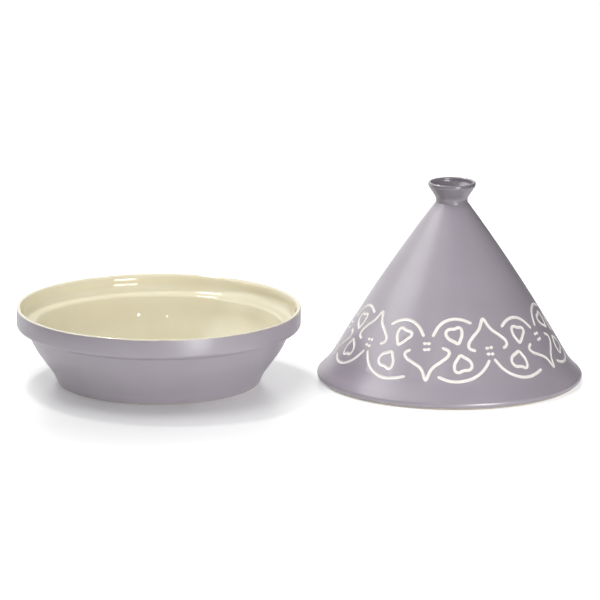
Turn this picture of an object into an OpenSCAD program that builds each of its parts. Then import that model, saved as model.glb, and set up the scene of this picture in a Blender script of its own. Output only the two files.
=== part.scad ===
// Tagine: a shallow stoneware dish with a stepped rim, and the conical lid that stands beside it.
// Each piece is turned clay, so each is one closed outline spun about its own upright axis.
// Lengths are in millimetres. Both pieces stand on the plane z = 0, with the front towards -Y.

/* [Dish rim] */
// Outer diameter of the rim band
rim_d = 300; // [270:1:380]
// Height of the dish from foot to lip
dish_h = 80; // [70:1:110]
// How far the band stands out past the body under it
band_step = 9; // [5:0.5:12]
// Thickness of the upright wall of the rim
rim_wall = 5.5; // [4.5:0.5:8]
// How far the band reaches down below the lid seat
band_below = 3; // [1:0.5:8]
// How far the band's underside slopes down to the body
under_slope = 4; // [1:0.5:6]
// Rounding of the band's lower edge
band_round = 4; // [1:0.5:5]
// Rounding of the lip's outer edge
lip_edge = 1.3; // [0.8:0.1:2]
// Rounding of the lip's inner edge
lip_round = 2.6; // [1.5:0.1:4]
// Height of the stretch below the lip that leans back, so that the lid drops in
lead_in_h = 4.7; // [2:0.1:6]
// Lean of that stretch from upright, in degrees
lead_in_lean = 20; // [5:1:25]

/* [Lid seat] */
// Depth of the seat below the lip, at the rim wall
seat_depth = 17; // [13:0.5:22]
// Width of the seat, from the rim wall to the bowl
seat_w = 14.5; // [12:0.5:18]
// How much lower the seat is at the bowl than at the rim wall
seat_fall = 2; // [0.5:0.25:3]
// Gap all round between the lid's widest ring and the rim wall
seat_gap = 4; // [2:0.5:5]
// Gap between the bowl's edge and the inside of the lid's foot
foot_clear = 0.5; // [0:0.25:1.5]
// Width of the cove between the rim wall and the seat
cove_w = 4; // [2:0.5:5]
// Height of that cove
cove_h = 6.4; // [3:0.1:7]

/* [Dish body] */
// Outer diameter of the foot
foot_d = 213.5; // [180:0.5:220]
// Height of the steep foot
foot_h = 12; // [8:0.5:16]
// Lean of the foot from upright, in degrees
foot_lean = 25; // [10:1:30]
// Height of the belly, where the side turns upright again
belly_z = 38.5; // [34:0.5:44]
// Lean of the side above the belly, in degrees
belly_lean = 24; // [15:1:28]
// Thickness of the bowl's side wall
bowl_wall = 8; // [6:0.5:9]
// Thickness of the floor
floor_t = 7.5; // [5:0.5:10]
// Width of the ring that the dish stands on
foot_ring_w = 10; // [7:0.5:14]
// Depth of the hollow inside that ring
recess_depth = 2.5; // [1.5:0.25:4]

/* [Cone lid] */
// Height of the lid from its foot to the top of the knob
lid_h = 212.5; // [180:0.5:280]
// Thickness of the cone's wall
lid_wall = 7; // [5:0.5:9]
// How far the cone bulges past a straight line
cone_bulge = 3; // [0.5:0.25:8]
// Height at which the cone starts to flare out to its edge
flare_z = 19.5; // [16:0.5:26]
// How much narrower the cone is at the flare than at its edge
flare_w = 12.5; // [9:0.5:16]
// Rounding of the bend between the cone and the flare
flare_round = 60; // [20:5:80]
// Height of the widest ring of the edge
edge_z = 5.5; // [4.5:0.25:7]
// Height of the upright stretch of the edge, before it is rounded
edge_band = 3.4; // [2:0.1:5]
// How far the edge tucks in again at the foot
edge_tuck = 4.5; // [3:0.25:5]

/* [Knob] */
// Outer diameter of the knob's mouth
knob_d = 50; // [42:0.5:64]
// Height of the knob above the cone
knob_h = 21.5; // [18:0.5:28]
// Outer diameter of the neck
neck_d = 33.6; // [28:0.2:38]
// Height of the straight neck
neck_h = 5; // [3:0.5:7]
// Height of the upright rim of the mouth
mouth_h = 3.9; // [3:0.1:6]
// Thickness of the knob's wall at the mouth
knob_wall = 3.2; // [2.5:0.1:4.5]
// Depth of the cup in the knob
cup_depth = 22; // [14:0.5:24]
// Diameter of the cup's floor
cup_floor_d = 18; // [10:0.5:20]
// Thickness of clay between the cup and the inside of the lid
crown_t = 9; // [6:0.5:14]

/* [Placing] */
// Clear distance between the dish and the lid that stands beside it
stand_gap = 17.6; // [5:0.1:80]
// How far the lid stands behind the dish
lid_back = 15.5; // [0:0.5:60]

/* [Hidden] */
glaze = [0.66, 0.63, 0.67];
// Widest turn of an arc between two of its points, in degrees
arc_turn = 6;
// Largest share of an edge that the rounding of one corner takes
edge_share = 0.49;
// Facets of a full turn in a preview
round_faces = 180;
// Straight steps along the cone's bulged side
cone_steps = 14;

rim_r = rim_d / 2;
seat_r = rim_r - rim_wall;
bowl_r = seat_r - seat_w;
shoulder_r = rim_r - band_step;
seat_z = dish_h - seat_depth;
lip_in_r = seat_r + lead_in_h * tan(lead_in_lean);
cove_z = seat_z - seat_fall * cove_w / seat_w;
shoulder_z = seat_z - band_below;
under_z = shoulder_z - under_slope;
under_r = shoulder_r - under_slope * tan(belly_lean);
foot_r = foot_d / 2;
foot_top_r = foot_r + foot_h * tan(foot_lean);
belly_r = shoulder_r - (shoulder_z - belly_z) * tan(belly_lean);
side_lean = atan((belly_r - foot_top_r) / (belly_z - foot_h));
floor_z = recess_depth + floor_t;
floor_r = foot_top_r - bowl_wall / cos(side_lean) - (foot_h - floor_z) * tan(side_lean);

lid_r = seat_r - seat_gap;
lid_foot_r = lid_r - edge_tuck;
lid_foot_in_r = bowl_r + foot_clear;
neck_r = neck_d / 2;
knob_r = knob_d / 2;
neck_z = lid_h - knob_h;
cup_z = lid_h - cup_depth;
crown_z = cup_z - crown_t;

// Centre and radius of the cone's bulged side, through the flare and the neck
cone_low = [lid_r - flare_w, flare_z];
cone_high = [neck_r, neck_z];
cone_chord = norm(cone_high - cone_low);
cone_out = [neck_z - flare_z, lid_r - flare_w - neck_r] / cone_chord;
cone_arc_r = cone_chord * cone_chord / (8 * cone_bulge) + cone_bulge / 2;
cone_centre = (cone_low + cone_high) / 2 - cone_out * (cone_arc_r - cone_bulge);
cone_start = turn_of(cone_low - cone_centre);
cone_end = turn_of(cone_high - cone_centre);
inner_arc_r = cone_arc_r - lid_wall;
inner_end = asin((crown_z - cone_centre[1]) / inner_arc_r);

// Both pieces are set so that the middle of their common box is over the origin
whole_w = rim_d + stand_gap + 2 * lid_r;
front_y = min(-rim_r, lid_back - lid_r);
back_y = max(rim_r, lid_back + lid_r);
dish_at = [rim_r - whole_w / 2, -(front_y + back_y) / 2, 0];
lid_at = [whole_w / 2 - lid_r, dish_at[1] + lid_back, 0];

function turn_of(v) = atan2(v[1], v[0]);
function flat(p) = [p[0], p[1]];
function short_way(a) = a > 180 ? a - 360 : (a < -180 ? a + 360 : a);
function arc(centre, r, from, sweep, steps) = [
    for (i = [0:steps]) centre + r * [cos(from + sweep * i / steps), sin(from + sweep * i / steps)]
];

// One corner [r, z, rounding] of an outline, as the arc that rounds it within its two edges
function corner(before, at, after) =
    at[2] == 0 ? [flat(at)] :
    let (u = flat(before) - flat(at))
    let (v = flat(after) - flat(at))
    let (to_before = u / norm(u))
    let (to_after = v / norm(v))
    let (half = acos(to_before * to_after) / 2)
    let (reach = min(at[2] / tan(half), edge_share * norm(u), edge_share * norm(v)))
    let (r = reach * tan(half))
    let (inwards = (to_before + to_after) / norm(to_before + to_after))
    let (centre = flat(at) + inwards * r / sin(half))
    let (start = turn_of(flat(at) + to_before * reach - centre))
    let (stop = turn_of(flat(at) + to_after * reach - centre))
    let (sweep = short_way(stop - start))
    arc(centre, r, start, sweep, max(2, ceil(abs(sweep) / arc_turn)));

function rounded(corners) = [
    for (i = [0:len(corners) - 1])
        each corner(corners[(i + len(corners) - 1) % len(corners)], corners[i], corners[(i + 1) % len(corners)])
];

// The dish, from the middle of its underside round the foot, the side, the lip and the bowl
dish_outline = [
    [0, recess_depth, 0],
    [foot_r - foot_ring_w, recess_depth, 1.2],
    [foot_r - foot_ring_w + 0.8, 0, 0.8],
    [foot_r, 0, 1.5],
    [foot_top_r, foot_h, 25],
    [belly_r, belly_z, 60],
    [under_r, under_z, 1.5],
    [rim_r, shoulder_z, band_round],
    [rim_r, dish_h, lip_edge],
    [lip_in_r, dish_h, lip_round],
    [seat_r, dish_h - lead_in_h, 11],
    [seat_r, cove_z + cove_h, 11],
    [seat_r - cove_w, cove_z, 6.4],
    [bowl_r, seat_z - seat_fall, 4],
    [belly_r - bowl_wall / cos(belly_lean), belly_z, 60],
    [floor_r, floor_z, 28],
    [0, floor_z, 0],
];

// The lid, from its foot up the flared edge, the cone and the knob, and down inside
lid_outline = concat(
    [
        [lid_foot_in_r, 0, 1],
        [lid_foot_r, 0, 1.2],
        [lid_r, edge_z - edge_band / 2, 3.5],
        [lid_r, edge_z + edge_band / 2, 3.5],
        [cone_low[0], cone_low[1], flare_round],
    ],
    [
        for (i = [2:cone_steps - 1])
            let (turn = cone_start + (cone_end - cone_start) * i / cone_steps)
            [cone_centre[0] + cone_arc_r * cos(turn), cone_centre[1] + cone_arc_r * sin(turn), 0]
    ],
    [
        [neck_r, neck_z, 0.8],
        [neck_r, neck_z + neck_h, 8],
        [knob_r, lid_h - mouth_h, 3],
        [knob_r, lid_h, knob_wall / 2],
        [knob_r - knob_wall, lid_h, knob_wall / 2],
        [knob_r - knob_wall, lid_h - mouth_h, 4],
        [cup_floor_d / 2, cup_z, 8],
        [0, cup_z, 0],
        [0, crown_z, 0],
    ],
    [[cone_centre[0] + inner_arc_r * cos(inner_end), crown_z, 10]],
    [
        for (i = [1:cone_steps])
            let (turn = inner_end + (cone_start - inner_end) * i / cone_steps)
            [cone_centre[0] + inner_arc_r * cos(turn), cone_centre[1] + inner_arc_r * sin(turn), 0]
    ],
    [[lid_foot_in_r - 0.6, edge_z, 6]]
);

module spun(corners) {
    rotate_extrude($fn = round_faces)
        polygon(rounded(corners));
}

module base_dish() {
    color(glaze)
        translate(dish_at)
            spun(dish_outline);
}

module cone_lid() {
    color(glaze)
        translate(lid_at)
            spun(lid_outline);
}

base_dish();
cone_lid();
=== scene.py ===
"""The looks of a stoneware tagine: a shallow dish and its cone lid, stood side by side."""
import math

import bmesh
import bpy
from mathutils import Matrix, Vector


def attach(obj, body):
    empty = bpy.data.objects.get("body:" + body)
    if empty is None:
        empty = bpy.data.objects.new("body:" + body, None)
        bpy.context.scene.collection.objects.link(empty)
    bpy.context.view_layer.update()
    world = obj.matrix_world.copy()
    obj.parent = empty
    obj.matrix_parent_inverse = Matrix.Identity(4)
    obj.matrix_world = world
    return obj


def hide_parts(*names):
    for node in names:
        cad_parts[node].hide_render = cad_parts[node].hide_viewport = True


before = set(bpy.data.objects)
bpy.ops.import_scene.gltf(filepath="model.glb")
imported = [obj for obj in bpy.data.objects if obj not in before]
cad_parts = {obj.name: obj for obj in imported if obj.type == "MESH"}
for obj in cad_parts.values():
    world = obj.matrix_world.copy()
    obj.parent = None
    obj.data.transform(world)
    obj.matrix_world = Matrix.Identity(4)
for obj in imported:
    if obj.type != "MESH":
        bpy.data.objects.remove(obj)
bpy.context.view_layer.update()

# The view. A long lens looks from the front, a little down on the pieces, and is turned
# a third of a degree. It sees a square picture, and its place comes from fitting the two
# pieces' outlines.
PICTURE_PX = 600
FOCAL_PX = 4530.3
SENSOR_MM = 36.0
LOOK_DOWN = math.radians(13.449)
LOOK_ROLL = math.radians(0.337)
LOOK_FROM = (-0.0004, -4.6511, 1.1987)
view_data = bpy.data.cameras.new("view_camera")
view_data.sensor_width = SENSOR_MM
view_data.lens = FOCAL_PX * SENSOR_MM / PICTURE_PX
view_camera = bpy.data.objects.new("view_camera", view_data)
view_camera.location = LOOK_FROM
view_camera.rotation_mode = "ZYX"
view_camera.rotation_euler = (math.pi / 2 - LOOK_DOWN, 0, LOOK_ROLL)
bpy.context.scene.collection.objects.link(view_camera)
bpy.context.scene.camera = view_camera
bpy.context.scene.view_settings.view_transform = "Standard"


# The lamps. A small one high behind the left throws the shadows forwards. A softbox high at
# the left and two fills give the even part, a window low at the right front gives the sheen
# of the dish's rim, and two small lamps give the sparks in the bowl.
AIM_AT = Vector((0, 0, 0.06))


def lamp(name, azimuth, elevation, distance, width, height, glow, shape="RECTANGLE", mirrored=True):
    """An area lamp. Azimuth 0 is the front and + goes right; a glow of 1 is paper white.

    One that isn't mirrored lights the pieces without showing as a shape in the glossy glaze.
    """
    data = bpy.data.lights.new(name, "AREA")
    data.shape = shape
    data.size = width
    data.size_y = height
    fill = math.pi / 4 if shape == "ELLIPSE" else 1
    data.energy = glow * math.pi * width * height * fill
    made = bpy.data.objects.new(name, data)
    turn, rise = math.radians(azimuth), math.radians(elevation)
    level = math.cos(rise)
    away = Vector((math.sin(turn) * level, -math.cos(turn) * level, math.sin(rise)))
    made.location = AIM_AT + away * distance
    made.rotation_euler = away.to_track_quat("Z", "Y").to_euler()
    made.visible_camera = False
    made.visible_glossy = mirrored
    bpy.context.scene.collection.objects.link(made)


lamp("back_lamp", -145, 60, 2.4, 0.28, 0.28, 88, "ELLIPSE")
lamp("top_softbox", -80, 74, 1.4, 0.8, 0.8, 4.4, mirrored=False)
lamp("front_fill", -28, 48, 2.5, 1.0, 1.0, 3.1, mirrored=False)
lamp("right_fill", 65, 25, 2.0, 0.9, 0.9, 2.1, mirrored=False)
lamp("low_window", 29, 9, 4.0, 1.4, 1.3, 12.5)
lamp("right_spot", 22, 40, 3.0, 0.07, 0.07, 150, "ELLIPSE")
lamp("middle_spot", -12, 42, 3.0, 0.08, 0.08, 120, "ELLIPSE")


# The room. It is dark, with a white sheet low behind the pieces that only mirrored rays meet,
# and a soft patch of light at the left that is brighter to them. The camera sees it white.
# Along an axis of the direction that is looked in, the sheet starts at the first number of
# its edge and is full at the second. The patch has such an edge too, by the cosine of the
# angle from its middle.
ROOM_GLOW, SHEET_GLOW = 0.03, 1.25
SHEET_EDGES = {"Y": (0.2, 0.5), "X": (0.3, 0.1), "Z": (0.8, 0.6)}
PATCH_WAY, PATCH_START, PATCH_FULL = (-0.80, 0.01, 0.60), 0.86, 0.995
PATCH_GLOW, PATCH_MIRRORED = 0.9, 2.3


def add(tree, kind, inputs=(), **settings):
    """Adds a node with its settings, and sets or links its inputs, by name or by number."""
    made = tree.nodes.new(kind)
    for name, value in settings.items():
        setattr(made, name, value)
    for socket, value in dict(inputs).items():
        if isinstance(value, bpy.types.NodeSocket):
            tree.links.new(value, made.inputs[socket])
        else:
            made.inputs[socket].default_value = value
    return made


def linear(code):
    """An sRGB hex colour as the linear colour that nodes take."""
    parts = [int(code[i:i + 2], 16) / 255 for i in (1, 3, 5)]
    return [p / 12.92 if p <= 0.04045 else ((p + 0.055) / 1.055) ** 2.4 for p in parts] + [1.0]


room = bpy.data.worlds.new("white_room")
bpy.context.scene.world = room
room.use_nodes = True
tree = room.node_tree
tree.nodes.clear()
sight = add(tree, "ShaderNodeLightPath")
direction = add(tree, "ShaderNodeTexCoord").outputs["Object"]
along = add(tree, "ShaderNodeSeparateXYZ", {"Vector": direction})
sheet = sight.outputs["Is Glossy Ray"]
for axis, (start, full) in SHEET_EDGES.items():
    edge = add(tree, "ShaderNodeMapRange",
               {"Value": along.outputs[axis], "From Min": start, "From Max": full})
    sheet = add(tree, "ShaderNodeMath",
                {0: sheet, 1: edge.outputs[0]}, operation="MULTIPLY").outputs[0]
room_glow = add(tree, "ShaderNodeMapRange",
                {"Value": sheet, "To Min": ROOM_GLOW, "To Max": SHEET_GLOW})
cosine = add(tree, "ShaderNodeVectorMath", {0: direction, 1: PATCH_WAY}, operation="DOT_PRODUCT")
patch_glow = add(tree, "ShaderNodeMapRange",
                 {"Value": sight.outputs["Is Glossy Ray"],
                  "To Min": PATCH_GLOW, "To Max": PATCH_MIRRORED})
patch = add(tree, "ShaderNodeMapRange",
            {"Value": cosine.outputs["Value"], "From Min": PATCH_START, "From Max": PATCH_FULL,
             "To Max": patch_glow.outputs[0]}, interpolation_type="SMOOTHSTEP")
glow = add(tree, "ShaderNodeMath", {0: room_glow.outputs[0], 1: patch.outputs[0]}, operation="ADD")
seen = add(tree, "ShaderNodeMapRange",
           {"Value": sight.outputs["Is Camera Ray"], "To Min": glow.outputs[0], "To Max": 1.0})
sky = add(tree, "ShaderNodeBackground", {"Color": linear("#FFFFFF"), "Strength": seen.outputs[0]})
add(tree, "ShaderNodeOutputWorld", {"Surface": sky.outputs[0]})


# The floor. One wide sheet of silk-coated white paper, whose coating gives the eye a faint,
# blurred mirror image of the pieces. The camera sees it lifted to white, ever more with the
# distance from the middle of the dish's shadow, and the glazes mirror it a little lifted.
TABLE = [(-0.65, -0.85, 0), (0.65, -0.85, 0), (0.65, 2.6, 0), (-0.65, 2.6, 0)]
PAPER, PAPER_ROUGH, PAPER_IOR = "#E8E8E8", 0.3, 1.5
SHADE_AT, SHADE_R, OPEN_R = (-0.165, -0.105, 0), 0.045, 0.28
OPEN_GLOW, MIRRORED_GLOW = 0.5, 0.28
floor_mesh = bpy.data.meshes.new("floor")
shape = bmesh.new()
shape.faces.new([shape.verts.new(corner) for corner in TABLE])
shape.to_mesh(floor_mesh)
shape.free()
floor = bpy.data.objects.new("floor", floor_mesh)
bpy.context.scene.collection.objects.link(floor)
paper = bpy.data.materials.new("silk_white_paper")
paper.use_nodes = True
tree = paper.node_tree
tree.nodes.clear()
sight = add(tree, "ShaderNodeLightPath")
place = add(tree, "ShaderNodeTexCoord").outputs["Object"]
away = add(tree, "ShaderNodeVectorMath", {0: place, 1: SHADE_AT}, operation="DISTANCE")
open_part = add(tree, "ShaderNodeMapRange",
                {"Value": away.outputs["Value"], "From Min": SHADE_R, "From Max": OPEN_R,
                 "To Max": OPEN_GLOW})
lift = add(tree, "ShaderNodeMath",
           {0: sight.outputs["Is Camera Ray"], 1: open_part.outputs[0]}, operation="MULTIPLY")
lift = add(tree, "ShaderNodeMath",
           {0: sight.outputs["Is Glossy Ray"], 1: MIRRORED_GLOW, 2: lift.outputs[0]},
           operation="MULTIPLY_ADD")
silk = add(tree, "ShaderNodeBsdfPrincipled",
           {"Base Color": linear(PAPER), "Roughness": PAPER_ROUGH, "IOR": PAPER_IOR})
own = add(tree, "ShaderNodeEmission", {"Color": linear("#FFFFFF"), "Strength": lift.outputs[0]})
both = add(tree, "ShaderNodeAddShader", {0: silk.outputs[0], 1: own.outputs[0]})
add(tree, "ShaderNodeOutputMaterial", {"Surface": both.outputs[0]})
floor_mesh.materials.append(paper)


# The dish. One turned stoneware bowl with a stepped rim: a flat ledge carries the lid inside
# an upright band. It is cream inside and over the lip, and satin mauve outside; the ring
# that it stands on is bare clay, wiped clean before firing. Its sizes are in millimetres.
MM = 0.001
DISH_AT = Vector((-0.1493, -0.003, 0))
RIM_R, DISH_H, RIM_WALL = 150, 80, 5.5
BAND_STEP, BAND_BELOW, UNDER_SLOPE = 9, 3, 4
LEAD_IN_H, LEAD_IN_LEAN = 4.7, 20
SEAT_DEPTH, SEAT_W, SEAT_FALL = 17, 14.5, 2
COVE_W, COVE_H, COVE_Z = 4, 6.4, 62.45
FOOT_R, FOOT_H, FOOT_LEAN = 106.75, 12, 25
FOOT_RING_W, RING_SLANT = 10, 0.8
BELLY_Z, BELLY_LEAN = 38.5, 24
BOWL_WALL, FLOOR_R, FLOOR_T, RECESS_DEPTH = 8, 101.05, 7.5, 2.5


def lean(height, degrees):
    """How far a side that leans by so many degrees goes sideways over a height."""
    return height * math.tan(math.radians(degrees))


seat_r = RIM_R - RIM_WALL
bowl_r = seat_r - SEAT_W
seat_z = DISH_H - SEAT_DEPTH
shoulder_r = RIM_R - BAND_STEP
shoulder_z = seat_z - BAND_BELOW
under_r = shoulder_r - lean(UNDER_SLOPE, BELLY_LEAN)
belly_r = shoulder_r - lean(shoulder_z - BELLY_Z, BELLY_LEAN)
foot_top_r = FOOT_R + lean(FOOT_H, FOOT_LEAN)
ring_in_r = FOOT_R - FOOT_RING_W
floor_z = RECESS_DEPTH + FLOOR_T

# How finely a piece is turned: the steps of a full turn, how far a flat of a rounding may
# leave its arc, the least and most that it turns, the largest share of an edge that a
# rounding takes, and how close two points are when they are one.
SPIN_STEPS = 384
FLATNESS = 0.02
MIN_STEP, MAX_STEP = math.radians(3.5), math.radians(15)
EDGE_SHARE = 0.49
ONE_POINT = 0.001


def turned(name, corners, at):
    """An outline of [r, z, rounding], from the axis and back to it, rounded and spun."""
    shape = bmesh.new()
    points = [shape.verts.new((r * MM, 0, z * MM)) for r, z, rounding in corners]
    for one, other in zip(points, points[1:]):
        shape.edges.new((one, other))
    for before, here, after, point in zip(corners, corners[1:], corners[2:], points[1:]):
        rounding = here[2]
        if rounding == 0:
            continue
        to_before = Vector(before[:2]) - Vector(here[:2])
        to_after = Vector(after[:2]) - Vector(here[:2])
        half = to_before.angle(to_after) / 2
        reach = min(rounding / math.tan(half),
                    EDGE_SHARE * to_before.length, EDGE_SHARE * to_after.length)
        step = min(max(2 * math.acos(1 - FLATNESS / rounding), MIN_STEP), MAX_STEP)
        flats = max(2, math.ceil((math.pi - 2 * half) / step))
        bmesh.ops.bevel(shape, geom=[point], affect="VERTICES", offset=reach * MM,
                        offset_type="OFFSET", segments=flats, profile=0.5, material=-1,
                        clamp_overlap=False)
    bmesh.ops.spin(shape, geom=shape.verts[:] + shape.edges[:], cent=(0, 0, 0), axis=(0, 0, 1),
                   angle=math.tau / 4, steps=SPIN_STEPS // 4)
    for axis in ("X", "Y"):
        bmesh.ops.mirror(shape, geom=shape.verts[:] + shape.edges[:] + shape.faces[:],
                         axis=axis, merge_dist=ONE_POINT * MM)
    bmesh.ops.remove_doubles(shape, verts=shape.verts[:], dist=ONE_POINT * MM)
    bmesh.ops.recalc_face_normals(shape, faces=shape.faces[:])
    bmesh.ops.translate(shape, verts=shape.verts[:], vec=at)
    for face in shape.faces:
        face.smooth = True
    mesh = bpy.data.meshes.new(name)
    shape.to_mesh(mesh)
    shape.free()
    made = bpy.data.objects.new(name, mesh)
    bpy.context.scene.collection.objects.link(made)
    return made


dish = turned("glazed_dish", [
    [0, RECESS_DEPTH, 0],
    [ring_in_r, RECESS_DEPTH, 1.2],
    [ring_in_r + RING_SLANT, 0, 0.8],
    [FOOT_R, 0, 1.5],
    [foot_top_r, FOOT_H, 25],
    [belly_r, BELLY_Z, 60],
    [under_r, shoulder_z - UNDER_SLOPE, 1.5],
    [RIM_R, shoulder_z, 4],
    [RIM_R, DISH_H, 1.3],
    [seat_r + lean(LEAD_IN_H, LEAD_IN_LEAN), DISH_H, 2.6],
    [seat_r, DISH_H - LEAD_IN_H, 11],
    [seat_r, COVE_Z + COVE_H, 11],
    [seat_r - COVE_W, COVE_Z, 6.4],
    [bowl_r, seat_z - SEAT_FALL, 4],
    [belly_r - BOWL_WALL / math.cos(math.radians(BELLY_LEAN)), BELLY_Z, 60],
    [FLOOR_R, floor_z, 28],
    [0, floor_z, 0],
], DISH_AT)

# How every finish lies, in millimetres: how wide and deep its slow swell and its orange peel
# are, and how wide and far the line wanders where one ends on another. Its roughness drifts
# by this share to either side, and its colour between these two levels of the noise.
SWELL_W, SWELL_DEEP = 22, 0.12
PEEL_W, PEEL_DEEP = 1.1, 0.0015
WANDER_W, WANDER_FAR = 9, 0.7
ROUGH_DRIFT = 0.08
DRIFT_LOW, DRIFT_HIGH = 0.3, 0.7


def glaze(name, thin, thick, roughness, spots, others=(), ior=1.52):
    """A fired finish, whose colour drifts between thin and thick in spots that wide in mm.

    Each of others is [from height, to height, colour, roughness] in mm, for what takes over
    between these two heights, along a line that wanders as a brush or a sponge leaves it.
    """
    material = bpy.data.materials.new(name)
    material.use_nodes = True
    tree = material.node_tree
    tree.nodes.clear()
    place = add(tree, "ShaderNodeTexCoord").outputs["Object"]
    drift = add(tree, "ShaderNodeTexNoise",
                {"Vector": place, "Scale": 1 / (spots * MM), "Detail": 3.0}).outputs[0]
    amount = add(tree, "ShaderNodeMapRange",
                 {"Value": drift, "From Min": DRIFT_LOW, "From Max": DRIFT_HIGH}).outputs[0]
    colour = add(tree, "ShaderNodeMix",
                 {0: amount, 6: linear(thin), 7: linear(thick)}, data_type="RGBA").outputs[2]
    gloss = add(tree, "ShaderNodeMapRange",
                {"Value": amount, "To Min": roughness * (1 - ROUGH_DRIFT),
                 "To Max": roughness * (1 + ROUGH_DRIFT)}).outputs[0]
    for start, stop, other_colour, other_roughness in others:
        height = add(tree, "ShaderNodeSeparateXYZ", {"Vector": place}).outputs["Z"]
        wander = add(tree, "ShaderNodeTexNoise",
                     {"Vector": place, "Scale": 1 / (WANDER_W * MM), "Detail": 2.0}).outputs[0]
        shift = add(tree, "ShaderNodeMapRange",
                    {"Value": wander, "To Min": -WANDER_FAR * MM, "To Max": WANDER_FAR * MM})
        line = add(tree, "ShaderNodeMath", {0: height, 1: shift.outputs[0]}, operation="ADD")
        share = add(tree, "ShaderNodeMapRange",
                    {"Value": line.outputs[0], "From Min": start * MM, "From Max": stop * MM},
                    interpolation_type="SMOOTHSTEP").outputs[0]
        colour = add(tree, "ShaderNodeMix",
                     {0: share, 6: colour, 7: linear(other_colour)}, data_type="RGBA").outputs[2]
        gloss = add(tree, "ShaderNodeMapRange",
                    {"Value": share, "To Min": gloss, "To Max": other_roughness}).outputs[0]
    wave = add(tree, "ShaderNodeTexNoise",
               {"Vector": place, "Scale": 1 / (SWELL_W * MM), "Detail": 1.0}).outputs[0]
    speck = add(tree, "ShaderNodeTexNoise",
                {"Vector": place, "Scale": 1 / (PEEL_W * MM), "Detail": 2.0}).outputs[0]
    swell = add(tree, "ShaderNodeBump",
                {"Height": wave, "Strength": 1.0, "Distance": SWELL_DEEP * MM}).outputs[0]
    peel = add(tree, "ShaderNodeBump",
               {"Height": speck, "Strength": 1.0, "Distance": PEEL_DEEP * MM,
                "Normal": swell}).outputs[0]
    shader = add(tree, "ShaderNodeBsdfPrincipled",
                 {"Base Color": colour, "Roughness": gloss, "IOR": ior, "Normal": peel})
    add(tree, "ShaderNodeOutputMaterial", {"Surface": shader.outputs[0]})
    return material


# Cream glaze: a clear, smooth glass over pale slip. It gives the eye small hard sparks, and
# the wall mirrored in the ledge.
CREAM, CREAM_THICK, CREAM_ROUGH, CREAM_SPOTS = "#E8E1C8", "#E3DBBE", 0.06, 60
gloss_cream = glaze("gloss_cream_glaze", CREAM, CREAM_THICK, CREAM_ROUGH, CREAM_SPOTS)

# Mauve glaze: fine crystals in it spread the light, and give the eye a wide, strong sheen
# with no sharp image in it, so its index is above a clear glaze's. On the dish the cream
# runs over the lip and ends on the mauve.
MAUVE, MAUVE_THICK, MAUVE_ROUGH, MAUVE_SPOTS = "#A9A1AB", "#A39BA5", 0.33, 45
MAUVE_IOR = 2.05
LIP_LINE = [78.9, 79.3, CREAM, CREAM_ROUGH]
mauve_to_lip = glaze("satin_mauve_glaze_to_lip", MAUVE, MAUVE_THICK, MAUVE_ROUGH, MAUVE_SPOTS,
                     [LIP_LINE], MAUVE_IOR)

# Bare clay: fired stoneware with no glaze on it, dry and matt to the eye, and a little sandy.
CLAY, CLAY_DARK, CLAY_ROUGH, CLAY_SPOTS = "#E0D8C8", "#D4CAB7", 0.8, 8
bare_clay = glaze("bare_stoneware", CLAY, CLAY_DARK, CLAY_ROUGH, CLAY_SPOTS)

OUTSIDE, INSIDE, STAND = 0, 1, 2


def paint(piece, at, materials, choose):
    """Gives each face of a turned piece what choose picks by radius, height and lean."""
    for material in materials:
        piece.data.materials.append(material)
    for face in piece.data.polygons:
        out = Vector((face.center.x, face.center.y, 0)) - at
        outwards = face.normal.dot(out.normalized())
        face.material_index = choose(out.length / MM, face.center.z / MM, outwards, face.normal.z)


# The clay is bare up to this height. The cream ends where a face looks outwards or downwards
# by more than this. A face counts within this many millimetres.
RING_BARE_H, FACES_OUT, FACES_DOWN = 0.6, 0.25, -0.2
PLAY = 1


def dish_finish(radius, height, outwards, upwards):
    """Bare clay under the foot ring, and cream on all above the floor that looks in or up."""
    if height < RING_BARE_H and radius > ring_in_r - PLAY:
        return STAND
    if height > floor_z - PLAY and outwards < FACES_OUT and upwards > FACES_DOWN:
        return INSIDE
    return OUTSIDE


paint(dish, DISH_AT, [mauve_to_lip, gloss_cream, bare_clay], dish_finish)
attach(dish, "root")
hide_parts("base_dish")


# The lid. A thin turned cone of stoneware with a flared edge that sits on the dish's ledge,
# and a hollow knob for lifting it, thrown on. Satin mauve outside and in the knob's cup, and
# cream inside. It stands beside the dish, a little further back. Sizes are in millimetres.
LID_AT = Vector((0.1588, 0.0125, 0))
SEAT_GAP, FOOT_CLEAR, FOOT_SLANT = 4, 0.5, 0.6
LID_H, LID_WALL, CONE_BULGE, INNER_LOW = 212.5, 7, 3, 16.05
FLARE_Z, FLARE_W, FLARE_ROUND = 19.5, 12.5, 60
EDGE_Z, EDGE_BAND, EDGE_TUCK = 5.5, 3.4, 4.5
KNOB_R, KNOB_H, KNOB_WALL, MOUTH_H = 25, 21.5, 3.2, 3.9
NECK_R, NECK_H = 16.8, 5
CUP_R, CUP_DEPTH, CROWN_T = 9, 22, 9
lid_r = seat_r - SEAT_GAP
foot_in_r = bowl_r + FOOT_CLEAR
flare_r = lid_r - FLARE_W
neck_z = LID_H - KNOB_H
cup_z = LID_H - CUP_DEPTH
crown_z = cup_z - CROWN_T

# The cone's side is a flat arc through the flare and the neck
chord = Vector((NECK_R - flare_r, neck_z - FLARE_Z))
cone_radius = chord.length_squared / (8 * CONE_BULGE) + CONE_BULGE / 2
cone_out = Vector((chord.y, -chord.x)) / chord.length
cone_centre = Vector((flare_r, FLARE_Z)) + chord / 2 - cone_out * (cone_radius - CONE_BULGE)


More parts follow.
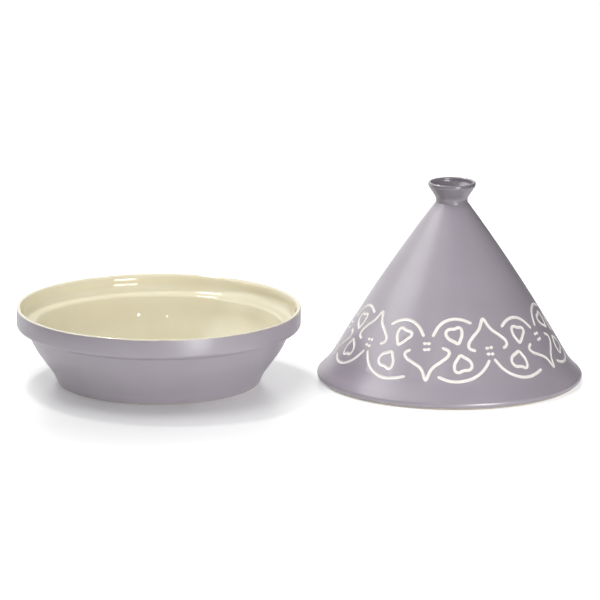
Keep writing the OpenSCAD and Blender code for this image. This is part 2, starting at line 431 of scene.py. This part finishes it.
def cone_at(height, depth=0.0):
    """Radius of the cone's side at a height, that deep under its outer face."""
    return cone_centre.x + math.sqrt((cone_radius - depth) ** 2 - (height - cone_centre.y) ** 2)


# The outer rows below the first one lie in the rounding of the flare, and the inner ones end
# at INNER_LOW, across the wall from the flare
CONE_ROWS, FIRST_ROW = 40, 5
rise = (neck_z - FLARE_Z) / CONE_ROWS
outer_heights = [FLARE_Z + rise * i for i in range(FIRST_ROW, CONE_ROWS)]
drop = (crown_z - INNER_LOW) / CONE_ROWS
inner_heights = [crown_z - drop * i for i in range(1, CONE_ROWS + 1)]
lid = turned("carved_lid", [
    [0, crown_z, 0],
    [cone_at(crown_z, LID_WALL), crown_z, 4],
] + [[cone_at(height, LID_WALL), height, 0] for height in inner_heights] + [
    [foot_in_r - FOOT_SLANT, EDGE_Z, 6],
    [foot_in_r, 0, 1],
    [lid_r - EDGE_TUCK, 0, 1.2],
    [lid_r, EDGE_Z - EDGE_BAND / 2, 3.5],
    [lid_r, EDGE_Z + EDGE_BAND / 2, 3.5],
    [flare_r, FLARE_Z, FLARE_ROUND],
] + [[cone_at(height), height, 0] for height in outer_heights] + [
    [NECK_R, neck_z, 0.8],
    [NECK_R, neck_z + NECK_H, 8],
    [KNOB_R, LID_H - MOUTH_H, 3],
    [KNOB_R, LID_H, KNOB_WALL / 2],
    [KNOB_R - KNOB_WALL, LID_H, KNOB_WALL / 2],
    [KNOB_R - KNOB_WALL, LID_H - MOUTH_H, 4],
    [CUP_R, cup_z, 8],
    [0, cup_z, 0],
], LID_AT)

# The clay is bare up to this height, and a face that looks down by more than this is a ceiling
FOOT_BARE_H, CEILING = 0.2, -0.9


def lid_finish(radius, height, outwards, upwards):
    """Bare clay under the foot, and cream on all below the crown that looks in or down."""
    if height < FOOT_BARE_H:
        return STAND
    if height < crown_z + PLAY and (outwards < 0 or upwards < CEILING):
        return INSIDE
    return OUTSIDE


# The same mauve glaze. It is wiped off just above the foot. On the knob and its neck its colour
# is painted darker, as painted shade for the shade there, and it is a little less rough, so
# shinier.
FOOT_LINE = [2.3, 1.7, CLAY, CLAY_ROUGH]
KNOB_PAINTED_SHADE = [184, 198, "#857F87", 0.27]
mauve_to_foot = glaze("satin_mauve_glaze_to_foot", MAUVE, MAUVE_THICK, MAUVE_ROUGH, MAUVE_SPOTS,
                      [FOOT_LINE, KNOB_PAINTED_SHADE], MAUVE_IOR)
paint(lid, LID_AT, [mauve_to_foot, gloss_cream, bare_clay], lid_finish)

# The carved band, a traditional one of scrolls and hearts, cut through the glaze. Five
# repeats run round the lid, each drawn freehand, so that no two are quite the same width.
# A point is [degrees round from the repeat's start, height], as it was drawn on the first
# repeat. A stroke is the track of a round-ended tool; one that starts at a tip starts narrow.
# Strokes that meet are in two sets.
REPEAT_STARTS = [-53.9, 20.2, 94.0, 165.0, 235.5]
REPEAT_STOPS = REPEAT_STARTS[1:] + [REPEAT_STARTS[0] + 360]
REPEAT_DRAWN = 74.1
PLAIN, TIPPED = 0, 1
STROKES = [
    [TIPPED, [0, 85.5], [-4, 74.7], [-8.7, 67.4], [-11.3, 60.5], [-10.7, 57.4], [-8.2, 55.5]],
    [TIPPED, [40.5, 26.4], [37.3, 37.9], [32.3, 43.2], [28, 47.4], [27, 51.1], [29.1, 54.2]],
    [TIPPED, [21.3, 57], [18.8, 68], [20.2, 73.5], [24.2, 72.1]],
    [TIPPED, [18.9, 51.4], [12.5, 44.5], [13.1, 38.4], [17.3, 36.2]],
    [TIPPED, [57.1, 61.2], [49.8, 69.7], [50.2, 74.5], [54.6, 76]],
    [TIPPED, [57.7, 52.3], [54.5, 41.5], [55.6, 35.7], [59.3, 37.2]],
    [PLAIN, [12.6, 75.8], [17, 80], [23.9, 81.7], [30.5, 78.2], [35.8, 68.9]],
    [PLAIN, [2.6, 45.5], [6.5, 35.8], [12.1, 28.9], [18.7, 25.8], [24.6, 27], [29.1, 29.3]],
    [PLAIN, [41.9, 69.5], [45.5, 79.5], [51.4, 84.4], [58.9, 84.7], [65.2, 81.3]],
    [PLAIN, [46.8, 30.9], [52.2, 27.4], [59, 27.4], [65.3, 31.3], [70.3, 38.4], [73.2, 45]],
]
OTHER_HALVES = [
    [TIPPED, [0, 85.5], [4.3, 74.2], [9.3, 67.4], [12.4, 60.5], [11.6, 57.6], [9.8, 56]],
    [TIPPED, [40.5, 26.4], [43, 38.4], [47.7, 45.5], [51.4, 51.6], [51.6, 54.7], [48.3, 57.9]],
    [TIPPED, [21.3, 57], [25.5, 63.2], [28.4, 69.5], [24.2, 72.1]],
    [TIPPED, [18.9, 51.4], [21.5, 39.5], [20.3, 34.6], [17.3, 36.2]],
    [TIPPED, [57.1, 61.2], [59.3, 71.5], [58.2, 77], [54.6, 76]],
    [TIPPED, [57.7, 52.3], [63.4, 43.9], [62.9, 38.6], [59.3, 37.2]],
]
DOTS = [
    [PLAIN, [-1, 57.1], [-0.4, 57.1]],
    [PLAIN, [1.5, 51.2], [2.1, 51.4]],
    [PLAIN, [37.2, 61.6], [37.8, 61.6]],
    [PLAIN, [39.7, 56.2], [40.3, 56.4]],
]
OTHER_DOTS = [
    [PLAIN, [1.5, 57.3], [2.1, 57.5]],
    [PLAIN, [-0.8, 51.6], [-0.2, 51.6]],
    [PLAIN, [39.5, 61.7], [40.1, 61.7]],
    [PLAIN, [37.7, 55.9], [38.3, 55.7]],
]

# The tool, whose radius follows from the width and the depth of a cut. Its round end is a
# quarter circle of (how far out, how wide), as shares of that radius. At a tip the tool goes
# in raised by the first share of the depth, and is down after the second share of its radius.
STROKE_W, STROKE_DEEP = 3.45, 0.6
ROUND_END = [(0.5, 0.866), (0.87, 0.5), (1.0, 0.03)]
TIP_RAISED, TIP_LONG = 0.85, 0.9
tool_r = (STROKE_W ** 2 / 4 + STROKE_DEEP ** 2) / (2 * STROKE_DEEP)


def tool_at(start, stop, degrees, height):
    """Where the tool's round end has its middle when it cuts at a point of a repeat."""
    turn = math.radians(start + degrees * (stop - start) / REPEAT_DRAWN)
    at = Vector((cone_at(height), height))
    at += (at - cone_centre).normalized() * (tool_r - STROKE_DEEP)
    return LID_AT + Vector((at.x * math.sin(turn), -at.x * math.cos(turn), at.y)) * MM


def tool_track(name, strokes):
    """All the strokes of one set, as closed round bars that don't touch each other."""
    track = bpy.data.curves.new(name, "CURVE")
    track.dimensions = "3D"
    track.bevel_depth = tool_r * MM
    track.bevel_resolution = 6
    track.resolution_u = 5
    track.use_fill_caps = True
    for start, stop in zip(REPEAT_STARTS, REPEAT_STOPS):
        for kind, *points in strokes:
            path = [tool_at(start, stop, *point) for point in points]
            sizes = [1.0] * len(path)
            first = (path[0] - path[1]).normalized() * tool_r * MM
            last = (path[-1] - path[-2]).normalized() * tool_r * MM
            if kind == PLAIN:
                path = [path[0] + first * out for out, size in reversed(ROUND_END)] + path
                sizes = [size for out, size in reversed(ROUND_END)] + sizes
            else:
                path = [path[0], path[0] - first * TIP_LONG] + path[1:]
                sizes = [1 - TIP_RAISED * STROKE_DEEP / tool_r, 1.0] + sizes[1:]
            path += [path[-1] + last * out for out, size in ROUND_END]
            sizes += [size for out, size in ROUND_END]
            spline = track.splines.new("BEZIER")
            spline.bezier_points.add(len(path) - 1)
            for point, at, size in zip(spline.bezier_points, path, sizes):
                point.co = at
                point.radius = size
                point.handle_left_type = point.handle_right_type = "AUTO"
    bars = bpy.data.objects.new(name, track)
    shape = bmesh.new()
    shape.from_mesh(bars.to_mesh())
    bars.to_mesh_clear()
    bpy.data.objects.remove(bars)
    bmesh.ops.remove_doubles(shape, verts=shape.verts[:], dist=10 * ONE_POINT * MM)
    bmesh.ops.recalc_face_normals(shape, faces=shape.faces[:])
    mesh = bpy.data.meshes.new(name)
    shape.to_mesh(mesh)
    shape.free()
    mesh.materials.append(pale_cream)
    cutter = bpy.data.objects.new(name, mesh)
    bpy.context.scene.collection.objects.link(cutter)
    return cutter


# Pale cream slip: liquid clay brushed into the cuts. It has only a soft shine, and is the
# lightest part of the lid to the eye.
SLIP, SLIP_THICK, SLIP_ROUGH, SLIP_SPOTS = "#FCF9F4", "#F6F2EB", 0.35, 12
pale_cream = glaze("pale_cream_slip", SLIP, SLIP_THICK, SLIP_ROUGH, SLIP_SPOTS)

# An edge that turns by more than this stays crisp, as the rims of the cuts do
CUT_EDGE = math.radians(32)
cutters = [tool_track("tool_track", STROKES + DOTS),
           tool_track("other_track", OTHER_HALVES + OTHER_DOTS)]
for cutter in cutters:
    cut = lid.modifiers.new(cutter.name, "BOOLEAN")
    cut.operation = "DIFFERENCE"
    cut.solver = "MANIFOLD"
    cut.object = cutter
    cut.material_mode = "TRANSFER"
depsgraph = bpy.context.evaluated_depsgraph_get()
carved = bpy.data.meshes.new_from_object(lid.evaluated_get(depsgraph))
lid.modifiers.clear()
lid.data = carved
for cutter in cutters:
    bpy.data.objects.remove(cutter)
carved.set_sharp_from_angle(angle=CUT_EDGE)
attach(lid, "root")
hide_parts("cone_lid")
